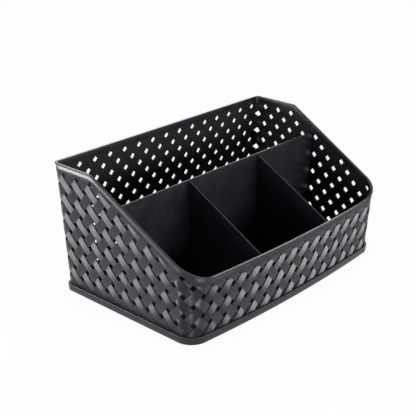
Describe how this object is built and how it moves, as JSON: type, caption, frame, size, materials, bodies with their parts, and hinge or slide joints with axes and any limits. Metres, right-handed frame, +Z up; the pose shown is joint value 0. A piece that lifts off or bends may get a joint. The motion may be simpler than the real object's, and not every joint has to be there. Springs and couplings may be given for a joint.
{
  "type": "compartment organizer",
  "caption": "Open basket organizer of dark plastic with woven-look pierced walls, high back, sloping sides and low bowed front, with a lift-out divider insert that makes compartments.",
  "frame": {"origin": "on the surface that the basket stands on, at the middle of its overall box", "axes": "+X to the right along the width, +Y to the back, +Z up"},
  "size_m": [0.303, 0.183, 0.1375],
  "materials": {
    "basket_plastic": "charcoal moulded plastic, low sheen",
    "divider_plastic": "charcoal moulded plastic, smooth and semi-gloss"
  },
  "bodies": {
    "basket": {"floor_panel": "basket_plastic", "plinth_band": "basket_plastic", "woven_back_wall": "basket_plastic", "woven_left_wall": "basket_plastic", "woven_right_wall": "basket_plastic", "woven_front_wall": "basket_plastic", "top_rim": "basket_plastic"},
    "divider_insert": {"long_divider": "divider_plastic", "left_cross_divider": "divider_plastic", "right_cross_divider": "divider_plastic"}
  },
  "joints": [
    {"name": "divider_lift", "type": "slide", "parent": "basket", "child": "divider_insert", "axis": [0, 0, 1], "range_m": [0, 0.15]}
  ]
}
